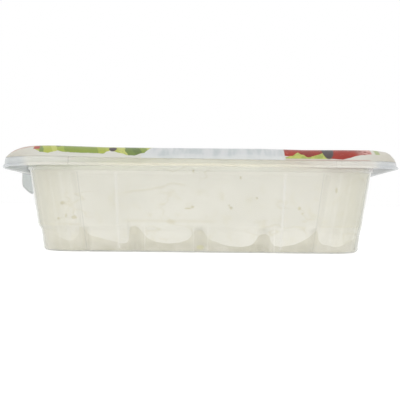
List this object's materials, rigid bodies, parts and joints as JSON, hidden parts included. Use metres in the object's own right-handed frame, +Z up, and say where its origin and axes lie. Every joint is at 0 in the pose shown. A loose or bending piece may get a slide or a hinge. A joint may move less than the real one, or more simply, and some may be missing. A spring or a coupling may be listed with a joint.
{
  "type": "packed primo sale cheese",
  "caption": "Block of fresh white cheese with a little whey in a clear ribbed tray, sealed with a printed film lid that has a pull tab.",
  "frame": {"origin": "on the standing face, under the middle of the tray", "axes": "+X along the long sides, with the pull tab on the -X side; +Z up, out of the film"},
  "size_m": [0.1713, 0.119, 0.0454],
  "materials": {
    "clear_tray": "clear thermoformed polypropylene, slightly hazy",
    "fresh_cheese": "moist fresh curd, cream white",
    "whey": "cloudy yellow-grey whey",
    "printed_film": "white lidding film with printed fields of green, pale grey and red"
  },
  "bodies": {
    "root": {"tray": "clear_tray", "cheese": "fresh_cheese", "whey": "whey", "lid_film": "printed_film"}
  },
  "joints": []
}
